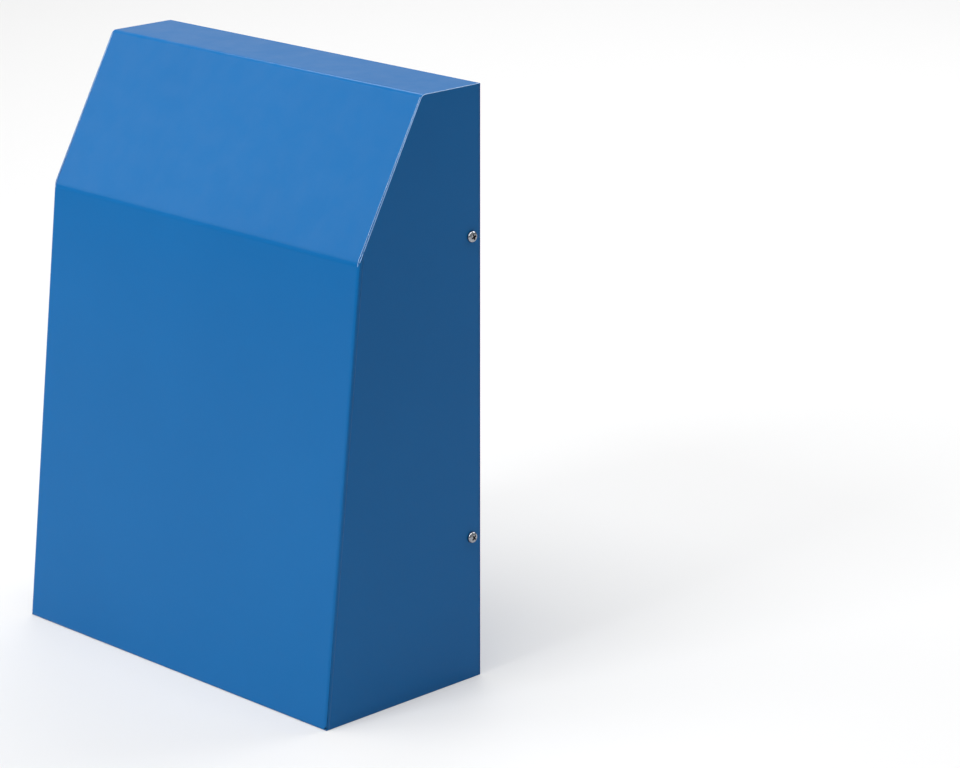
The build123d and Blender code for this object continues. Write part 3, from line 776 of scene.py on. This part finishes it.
def combine(piece: Object, tool: Object, way: Combine) -> None:
    """Adds the form of a tool to a piece or cuts it away, and removes the tool.

    Args:
        piece: Object to change.
        tool: Object whose form is added or cut.
        way: Whether to add or to cut.
    """
    finish_with(piece, "BOOLEAN", operation=way.value, solver="EXACT", object=tool)
    bpy.data.objects.remove(tool)


def drill(
    piece: Object, radius: float, length: float, sides: int, place: Point, turn: Point,
) -> None:
    """Drills a round hole.

    Args:
        piece: Object to drill.
        radius: Radius of the drill.
        length: Length of the drill.
        sides: Sides of the drill.
        place: Middle of the drill.
        turn: Turn of the drill from +Z.
    """
    pick_nothing()
    bpy.ops.mesh.primitive_cylinder_add(
        vertices=sides, radius=radius, depth=length, location=place, rotation=turn)
    combine(piece, bpy.context.object, Combine.CUT)


def mark_painted_highlight(share: Callable[[BMFace], float]) -> None:
    """Marks the share of the painted highlight, and of the clear coat, on each selected face, in edit
    mode.

    Args:
        share: Takes a face and gives its share, 0 to 1.
    """
    form = bmesh.from_edit_mesh(bpy.context.edit_object.data)
    layer = form.faces.layers.float.new(PAINTED_HIGHLIGHT)
    for face in form.faces:
        face[layer] = share(face) if face.select else 0.0
    bmesh.update_edit_mesh(bpy.context.edit_object.data)


def smooth(piece: Object, angle: float) -> None:
    """Smooth shading up to an angle, flat faces keeping their own normals.

    Args:
        piece: Object to shade.
        angle: Largest angle that stays smooth, in degrees.
    """
    pick_only(piece)
    bpy.ops.object.shade_smooth_by_angle(angle=math.radians(angle))
    finish_with(piece, "WEIGHTED_NORMAL", keep_sharp=True)


@dataclass
class FoldedCasing:
    """Folded cover: front, slope, top and sides, with a gap beside the slope and a perforated foot."""

    half_width: float = 156.0 * MM
    rear: float = -1.3 * MM
    top_depth: float = 53.0 * MM
    knee_depth: float = 110.0 * MM
    foot_depth: float = 145.0 * MM
    half_height: float = 207.0 * MM
    knee_z: float = 105.0 * MM
    sheet: float = 1.0 * MM
    fold: float = 2.5 * MM
    fold_steps: int = 5
    gap: float = 0.75 * MM
    gap_end: float = 0.15 * MM
    gap_depth: float = 0.7 * MM
    foot_line: float = 2.1 * MM
    front_line: float = 3.0 * MM
    line_width: float = 0.25 * MM
    line_depth: float = 0.15 * MM
    hole: float = 10.0 * MM
    pitch: float = 12.5 * MM
    columns: int = 23
    rows: int = 8
    first_row: float = -20.5 * MM
    hole_corner: float = 0.9 * MM
    corner_steps: int = 3
    relief: float = 0.7 * MM
    relief_length: float = 10.0 * MM
    relief_sides: int = 20
    paint_edge: float = 0.3 * MM
    edge_steps: int = 3
    near_slope: float = 0.97
    # Shares of the painted highlight on rounded side edges, stronger above the knee than below.
    upper_painted_highlight: float = 1.0
    lower_painted_highlight: float = 0.12

    def build(self, wardrobe: Wardrobe) -> None:
        """Folds the sheet, perforates the foot, opens the gaps and dresses the cover.

        Args:
            wardrobe: The finished materials.
        """
        cover = self._folded_skin()
        self._perforate(cover)
        finish_with(cover, "SOLIDIFY", thickness=self.sheet, offset=-1.0, use_even_offset=True)
        self._ease_holes(cover)
        self._open_gaps(cover)
        self._score_foot(cover)
        self._score_sides(cover)
        self._cut_reliefs(cover)
        self._round_edges(cover)
        smooth(cover, CREASE)
        wardrobe.take_in(cover, BLUE_COAT, "casing_cover")

    def _front_normals(self) -> tuple[Vector, Vector]:
        """Outward normals of the leaning front and of the slope above the knee."""
        front = Vector((0, -(self.knee_z + self.half_height), self.foot_depth - self.knee_depth))
        slope = Vector((0, -(self.half_height - self.knee_z), self.knee_depth - self.top_depth))
        return front.normalized(), slope.normalized()

    def _folded_skin(self) -> Object:
        """Outer skin with rounded folds, open towards the wall.

        Returns:
            The skin's object.
        """
        skin = new_block(
            "folded_casing",
            (-self.half_width, -self.foot_depth, -self.half_height),
            (self.half_width, self.rear, self.half_height),
        )
        front, slope = self._front_normals()
        knee = (0, -self.knee_depth, self.knee_z)
        with editing(skin):
            for normal in (front, slope):
                bpy.ops.mesh.select_all(action="SELECT")
                bpy.ops.mesh.bisect(plane_co=knee, plane_no=normal, use_fill=True, clear_outer=True)
            pick_faces(lambda face: face.normal.y > TOWARDS)
            bpy.ops.mesh.delete(type="FACE")

            def is_fold(edge: BMEdge) -> bool:
                """Says whether the sheet is folded along an edge, not seamed or cut."""
                normals = [face.normal for face in edge.link_faces]
                if len(normals) < 2 or normals[0].dot(normals[1]) > PARALLEL:
                    return False
                on_front = any(normal.dot(front) > PARALLEL for normal in normals)
                across = all(abs(normal.x) < ACROSS for normal in normals)
                return on_front or across

            pick_edges(is_fold)
            bevel_picked(self.fold, self.fold_steps)
        return skin

    def _perforate(self, cover: Object) -> None:
        """Cuts the grid of square holes in the foot.

        Args:
            cover: The folded skin.
        """
        left = -(self.columns - 1) * self.pitch / 2 - self.hole / 2
        across = [left + i * self.pitch + side for i in range(self.columns) for side in (0, self.hole)]
        back = self.first_row
        deep = [back - i * self.pitch - side for i in range(self.rows) for side in (0, self.hole)]
        cuts = [((x, 0, 0), (1, 0, 0)) for x in across] + [((0, y, 0), (0, 1, 0)) for y in deep]
        with editing(cover):
            for place, normal in cuts:
                pick_faces(lambda face: face.normal.z < -FACING)
                bpy.ops.mesh.bisect(plane_co=place, plane_no=normal)

            def in_hole(face: BMFace) -> bool:
                """Says whether a face of the foot lies in one of the holes."""
                if face.normal.z > -FACING:
                    return False
                middle = face.calc_center_median()
                column, x = divmod(middle.x - left, self.pitch)
                row, y = divmod(self.first_row - middle.y, self.pitch)
                return 0 <= column < self.columns and 0 <= row < self.rows and max(x, y) < self.hole

            pick_faces(in_hole)
            bpy.ops.mesh.delete(type="FACE")

    def _ease_holes(self, cover: Object) -> None:
        """Rounds the corners of the square holes.

        Args:
            cover: The solid cover.
        """

        def is_corner(edge: BMEdge) -> bool:
            """Says whether an edge is an upright corner of a hole in the foot."""
            first, second = (vertex.co for vertex in edge.verts)
            upright = (first.xy - second.xy).length < TOUCH
            inside = abs(first.x) < self.half_width - self.pitch
            ahead = first.y < self.first_row + self.hole / 2
            return upright and inside and ahead and max(first.z, second.z) < self.fold - self.half_height

        with editing(cover):
            pick_edges(is_corner)
            bevel_picked(self.hole_corner, self.corner_steps)

    def _open_gaps(self, cover: Object) -> None:
        """Sinks the gap beside each side sheet along the slope, widest at the knee.

        Args:
            cover: The solid cover.
        """
        _, slope = self._front_normals()
        edge = self.half_width - self.sheet
        cuts = []
        for side in (-1, 1):
            low = Vector((side * (edge - self.gap), -self.knee_depth, self.knee_z))
            high = Vector((side * (edge - self.gap_end), -self.top_depth, self.half_height))
            cuts.append((low, (high - low).cross(slope).normalized()))
            cuts.append((Vector((side * edge, 0, 0)), Vector((1, 0, 0))))

        def in_gap(middle: Vector) -> bool:
            """Says whether a point of the slope lies in one of the gaps."""
            climb = (middle.z - self.knee_z) / (self.half_height - self.knee_z)
            width = self.gap + (self.gap_end - self.gap) * climb
            return edge - width < abs(middle.x) < edge

        def on_slope(face: BMFace) -> bool:
            """Says whether a face is outside on the slope or on the near half of its folds."""
            return face.normal.dot(slope) > self.near_slope

        sink_groove(cover, on_slope, cuts, in_gap, self.gap_depth)

    def _score_foot(self, cover: Object) -> None:
        """Sinks the faint line of the painted-over joint along each side of the foot.

        Args:
            cover: The solid cover.
        """
        outer = self.half_width - self.foot_line
        inner = outer - self.line_width
        cuts = [(Vector((x, 0, 0)), Vector((1, 0, 0))) for x in (-outer, -inner, inner, outer)]

        def on_foot(face: BMFace) -> bool:
            """Says whether a face is outside on the foot."""
            return face.normal.z < -FACING and face.calc_center_median().z < self.fold - self.half_height

        sink_groove(cover, on_foot, cuts, lambda middle: inner < abs(middle.x) < outer, self.line_depth)

    def _score_sides(self, cover: Object) -> None:
        """Sinks the fine line where each upright front fold runs into its side sheet.

        Args:
            cover: The solid cover.
        """
        front, _ = self._front_normals()
        knee = Vector((0, -self.knee_depth, self.knee_z))
        outer, inner = self.front_line, self.front_line + self.line_width
        cuts = [(knee - front * depth, front) for depth in (outer, inner)]

        def on_side(face: BMFace) -> bool:
            """Says whether a face is outside on one of the sides."""
            outside = abs(face.calc_center_median().x) > self.half_width - self.sheet / 2
            return outside and abs(face.normal.x) > FACING

        def in_line(middle: Vector) -> bool:
            """Says whether a point of the sides lies in one of the lines."""
            return outer < (knee - middle).dot(front) < inner

        sink_groove(cover, on_side, cuts, in_line, self.line_depth)

    def _cut_reliefs(self, cover: Object) -> None:
        """Drills the small reliefs at the foot's front corners.

        Args:
            cover: The solid cover.
        """
        z = self.sheet + self.relief - self.half_height
        for side in (-1, 1):
            place = (side * self.half_width, -self.foot_depth, z)
            turn = (QUARTER, 0, side * QUARTER / 2)
            drill(cover, self.relief, self.relief_length, self.relief_sides, place, turn)

    def _round_edges(self, cover: Object) -> None:
        """Rounds the sharp outward edges and marks a painted highlight there, strongest beside slope and
        top.

        Args:
            cover: The solid cover.
        """

        def drawn(face: BMFace) -> float:
            """Share of the painted highlight on a rounded edge."""
            middle = face.calc_center_median()
            inward = abs(middle.x) < self.half_width - 2 * self.sheet
            if inward or not 1 - FACING < abs(face.normal.x) < FACING:
                return 0.0
            return self.upper_painted_highlight if middle.z > self.knee_z - 2 * self.fold else self.lower_painted_highlight

        with editing(cover):
            pick_edges(lambda edge: edge.is_convex and edge.calc_face_angle(0.0) > math.radians(SHARP))
            bevel_picked(self.paint_edge, self.edge_steps)
            mark_painted_highlight(drawn)


@dataclass
class PanScrews:
    """Zinc-plated pan-head screws that hold the cover, each cross recess driven to its own angle."""

    head: float = 4.0 * MM
    sides: int = 64
    rise: float = 2.6 * MM
    crown: float = 2.1 * MM
    crown_steps: int = 10
    shank: float = 2.0 * MM
    length: float = 9.0 * MM
    recess_reach: float = 2.8 * MM
    recess_half: float = 0.75 * MM
    recess_depth: float = 1.8 * MM
    recess_taper: Point = (0.55, 0.7, 1.0)
    round_over: float = 0.1 * MM
    round_steps: int = 2
    side: float = 156.0 * MM
    foot: float = -207.0 * MM
    from_wall: float = -8.5 * MM
    spread: float = 105.0 * MM
    driven: tuple[float, ...] = (0.35, 1.2, 0.75, 0.3, 0.5)

    def build(self, wardrobe: Wardrobe) -> None:
        """Models one screw, sets a copy in each seat and dresses the set.

        Args:
            wardrobe: The finished materials.
        """
        pattern = self._screw()
        seats = [
            ((side * self.side, self.from_wall, level * self.spread), (0, side * QUARTER, 0))
            for side in (-1, 1) for level in (-1, 1)
        ]
        seats.append(((0, self.from_wall, self.foot), (math.pi, 0, 0)))
        screws = [self._seated(pattern, *seat, turn) for seat, turn in zip(seats, self.driven)]
        bpy.data.objects.remove(pattern)
        pick_only(screws[0])
        for screw in screws:
            screw.select_set(True)
        bpy.ops.object.join()
        screws[0].name = "pan_screws"
        wardrobe.take_in(screws[0], ZINC_PLATE, "cover_screws")

    def _screw(self) -> Object:
        """One screw along +Z with its seat at z = 0.

        Returns:
            The screw's object.
        """
        pick_nothing()
        bpy.ops.mesh.primitive_cylinder_add(
            vertices=self.sides, radius=self.head, depth=self.rise, location=(0, 0, 0))
        screw = bpy.context.object
        screw.name = "pan_screw"
        with editing(screw):
            bpy.ops.transform.translate(value=(0, 0, self.rise / 2))
            pick_edges(lambda edge: all(v.co.z > self.rise / 2 for v in edge.verts))
            bevel_picked(self.crown, self.crown_steps)
            pick_faces(lambda face: face.normal.z < -TOWARDS)
            bpy.ops.mesh.inset(thickness=self.head - self.shank)
            bpy.ops.mesh.extrude_region_move(TRANSFORM_OT_translate={"value": (0, 0, -self.length)})
        for turn in (0, QUARTER):
            wing = new_block(
                "driver_wing",
                (-self.recess_reach, -self.recess_half, -self.recess_depth),
                (self.recess_reach, self.recess_half, self.recess_depth),
            )
            with editing(wing):
                pick_faces(lambda face: face.normal.z < -TOWARDS)
                bpy.ops.transform.resize(value=self.recess_taper)
            wing.rotation_euler = (0, 0, turn)
            wing.location = (0, 0, self.rise)
            bpy.context.view_layer.update()
            combine(screw, wing, Combine.CUT)
        ease(screw, self.round_over, self.round_steps, CREASE)
        smooth(screw, CREASE)
        return screw

    @staticmethod
    def _seated(pattern: Object, seat: Point, tilt: Point, turn: float) -> Object:
        """Copy of the screw in its seat.

        Args:
            pattern: The modelled screw.
            seat: Place of the seat.
            tilt: Turn that points the screw's axis out of the casing.
            turn: Turn of the recess about the screw's own axis, in radians.

        Returns:
            The copy, with its place in its mesh.
        """
        pick_only(pattern)
        bpy.ops.object.duplicate(linked=False)
        screw = bpy.context.object
        screw.rotation_euler = (0, 0, turn)
        bpy.ops.object.transform_apply(location=False, rotation=True, scale=False)
        screw.location = seat
        screw.rotation_euler = tilt
        bpy.ops.object.transform_apply(location=True, rotation=True, scale=False)
        return screw


@dataclass
class RearFrame:
    """Flat rim in the wall plane with four forward flanges, its cut edges softened by the paint."""

    half_width: float = 156.0 * MM
    half_height: float = 207.0 * MM
    side: float = 18.0 * MM
    end: float = 27.0 * MM
    sheet: float = 1.0 * MM
    flange_x: float = 154.7 * MM
    flange_z: float = 205.7 * MM
    flange_depth: float = 17.0 * MM
    notch: float = 8.0 * MM
    screw_hole: float = 2.2 * MM
    hole_length: float = 6.0 * MM
    hole_sides: int = 32
    screw_from_wall: float = 8.5 * MM
    screw_spread: float = 105.0 * MM
    paint_edge: float = 0.35 * MM
    edge_steps: int = 3

    def build(self, wardrobe: Wardrobe) -> None:
        """Cuts the rim, adds the flanges, drills them and dresses the frame.

        Args:
            wardrobe: The finished materials.
        """
        rim = self._rim()
        for low, high in self._flange_corners():
            combine(rim, new_block("frame_flange", low, high), Combine.ADD)
        self._drill(rim)
        ease(rim, self.paint_edge, self.edge_steps, SHARP)
        smooth(rim, CREASE)
        wardrobe.take_in(rim, BLUE_COAT, "rear_frame")

    def _rim(self) -> Object:
        """Flat rim with its opening.

        Returns:
            The rim's object.
        """
        rim = new_block(
            "painted_frame",
            (-self.half_width, -self.sheet, -self.half_height),
            (self.half_width, 0, self.half_height),
        )
        inner = self.half_height - self.side
        with editing(rim):
            pick_faces(lambda face: abs(face.normal.y) > TOWARDS)
            bpy.ops.mesh.inset(thickness=self.side, use_individual=True)
            bpy.ops.transform.resize(value=(1, 1, (self.half_height - self.end) / inner))
            bpy.ops.mesh.bridge_edge_loops()
        return rim

    def _flange_corners(self) -> list[tuple[Point, Point]]:
        """Low and high corners of the four flanges, notched at the frame's corners."""
        rear, front = -self.sheet / 2, -self.flange_depth
        x, z = self.flange_x, self.flange_z
        wide, tall = x - self.notch, z - self.notch
        sides = [((at, front, -tall), (at + self.sheet, rear, tall)) for at in (-x, x - self.sheet)]
        ends = [((-wide, front, at), (wide, rear, at + self.sheet)) for at in (-z, z - self.sheet)]
        return sides + ends

    def _drill(self, rim: Object) -> None:
        """Drills the holes of the cover screws.

        Args:
            rim: The frame with its flanges.
        """
        seats = [
            ((side * self.flange_x, level * self.screw_spread), (0, QUARTER, 0))
            for side in (-1, 1) for level in (-1, 1)
        ]
        for (x, z), turn in [*seats, ((0, -self.flange_z), (0, 0, 0))]:
            place = (x, -self.screw_from_wall, z)
            drill(rim, self.screw_hole, self.hole_length, self.hole_sides, place, turn)


@dataclass
class RolledMouth:
    """Small rolled bead round the mouth of the spigot, with its sizes in millimetres."""

    radius: float = 75.35
    from_wall: float = 49.45
    bead: float = 1.05
    points: int = 16
    steps: int = 192
    # Share of the painted highlight on the bead.
    rim: float = 0.25
    crease: float = 60.0

    def build(self, wardrobe: Wardrobe) -> None:
        """Turns the bead, marks its painted highlight and dresses it.

        Args:
            wardrobe: The finished materials.
        """
        turns = [2 * math.pi * i / self.points for i in range(self.points)]
        section = [
            (self.radius + self.bead * math.cos(turn), self.from_wall + self.bead * math.sin(turn))
            for turn in turns
        ]
        bead = turned("rolled_mouth", section, self.steps)
        with editing(bead):
            mark_painted_highlight(lambda face: self.rim)
        smooth(bead, self.crease)
        wardrobe.take_in(bead, BLUE_COAT)


@dataclass
class SpigotSeal:
    """Rubber seal on the spigot: a foot in the groove and two lips, with its section in millimetres."""

    steps: int = 192
    round_over: float = 0.12 * MM
    round_steps: int = 2
    sharp: float = 30.0
    crease: float = 50.0
    section: tuple[tuple[float, float], ...] = (
        (76.56, 31.31), (76.56, 38.69), (79.56, 42.44), (79.56, 43.7), (80.5, 43.7), (81.2, 43.3),
        (82.2, 42.3), (83.3, 40.85), (84.1, 39.5), (84.5, 38.75), (84.54, 38.3), (84.3, 38.0),
        (83.8, 38.45), (83.0, 39.6), (82.0, 40.95), (81.2, 41.7), (80.66, 41.75), (80.66, 37.5),
        (81.2, 37.05), (81.9, 35.9), (82.5, 34.5), (82.88, 33.1), (82.94, 32.4), (82.7, 32.0),
        (82.4, 32.4), (81.9, 33.6), (81.3, 34.8), (80.66, 35.3), (80.66, 31.6), (80.4, 31.31),
    )

    def build(self, wardrobe: Wardrobe) -> None:
        """Turns the seal and dresses it.

        Args:
            wardrobe: The finished materials.
        """
        seal = turned("lip_seal", self.section, self.steps)
        ease(seal, self.round_over, self.round_steps, self.sharp)
        smooth(seal, self.crease)
        wardrobe.take_in(seal, SEAL_RUBBER, "spigot_seal")


def hang(data: ID, place: Point, gaze: Vector) -> Object:
    """Puts a lamp or a camera in the scene.

    Args:
        data: The lamp or the camera, whose name the object takes.
        place: Its place.
        gaze: Direction that it looks in.

    Returns:
        The new object.
    """
    holder = bpy.data.objects.new(data.name, data)
    bpy.context.scene.collection.objects.link(holder)
    holder.location = place
    holder.rotation_euler = gaze.to_track_quat("-Z", "Y").to_euler()
    return holder


@dataclass(frozen=True)
class Lamp:
    """Square soft lamp: its place, side in metres, power in watts and the point that it looks at."""

    name: str
    place: Point
    size: float
    power: float
    aim: Point = (0.0, 0.0, 0.0)

    def build(self) -> None:
        """Hangs the lamp in the scene."""
        lamp = bpy.data.lights.new(self.name, "AREA")
        lamp.size = self.size
        lamp.energy = self.power
        hang(lamp, self.place, Vector(self.aim) - Vector(self.place))


LAMPS = (
    Lamp("key_lamp", (-0.09, -2.3, 1.6), size=0.95, power=33.0),
    Lamp("top_lamp", (0.0, -0.6, 2.6), size=2.2, power=52.0),
    Lamp("slope_lamp", (-2.35, -1.85, 1.75), size=2.0, power=17.3),
    Lamp("side_lamp", (2.8, 0.3, 0.8), size=2.0, power=1.6),
    Lamp("back_lamp", (0.5, 2.3, 2.0), size=1.8, power=34.0),
    Lamp("sweep_lamp", (-1.9, 2.1, 2.4), size=2.0, power=48.0, aim=(-1.9, 2.1, 0.0)),
)


@dataclass
class Studio:
    """Pale floor, soft lamps, a pale surround and the camera."""

    floor_z: float = -0.207
    floor_half: float = 6.0
    floor_colour: Colour = rgb("d0d0d0")
    floor_rough: float = 0.9
    floor_lift: float = 0.2
    ambient: float = 0.16
    backdrop: float = 0.36
    eye: Point = (1.73806, -1.59136, 0.67524)
    gaze: Point = (-0.67534, 0.67913, -0.28757)
    lens: float = 131.04
    sensor: float = 36.0
    clip_end: float = 50.0

    def build(self) -> None:
        """Builds the stage, the lights and the camera."""
        scene = bpy.context.scene
        scene.view_settings.view_transform = "Standard"
        self._floor()
        self._surround(scene)
        for lamp in LAMPS:
            lamp.build()
        self._camera(scene)

    def _floor(self) -> None:
        """Wide matt floor under the casing's foot, a little lighter to the camera and in reflections."""
        pick_nothing()
        bpy.ops.mesh.primitive_plane_add(size=2 * self.floor_half, location=(0, 0, self.floor_z))
        floor = bpy.context.object
        floor.name = "studio_floor"
        paint = Paint("studio_floor")
        paint.fill("Base Color", self.floor_colour)
        paint.fill("Roughness", self.floor_rough)
        paint.fill("Emission Color", WHITE)
        paint.fill("Emission Strength", paint.math("MULTIPLY", paint.seen(), self.floor_lift))
        floor.data.materials.append(paint.material)

    def _surround(self, scene: Scene) -> None:
        """Pale to the camera and in reflections, dimmer as a light.

        Args:
            scene: The scene that gets the surround.
        """
        world = bpy.data.worlds.new("studio_surround")
        scene.world = world
        world.use_nodes = True
        wiring = Wiring(world.node_tree)
        backdrop = world.node_tree.nodes["Background"]
        wiring.feed(backdrop.inputs["Color"], WHITE)
        strength = wiring.remap(wiring.seen(), UNIT, (self.ambient, self.backdrop))
        wiring.feed(backdrop.inputs["Strength"], strength)

    def _camera(self, scene: Scene) -> None:
        """Camera at the photograph's viewing angle.

        Args:
            scene: The scene that gets the camera.
        """
        camera = bpy.data.cameras.new("photo_camera")
        camera.lens = self.lens
        camera.sensor_width = self.sensor
        camera.clip_end = self.clip_end
        scene.camera = hang(camera, self.eye, Vector(self.gaze))


def main() -> None:
    """Dresses the frame, builds the new pieces, then the studio."""
    logging.basicConfig(level=logging.INFO, format="%(name)s: %(message)s")
    wardrobe = Wardrobe()
    wardrobe.dress_frame()
    FoldedCasing().build(wardrobe)
    RearFrame().build(wardrobe)
    PanScrews().build(wardrobe)
    RolledMouth().build(wardrobe)
    SpigotSeal().build(wardrobe)
    Studio().build()


if __name__ == "__main__":
    main()
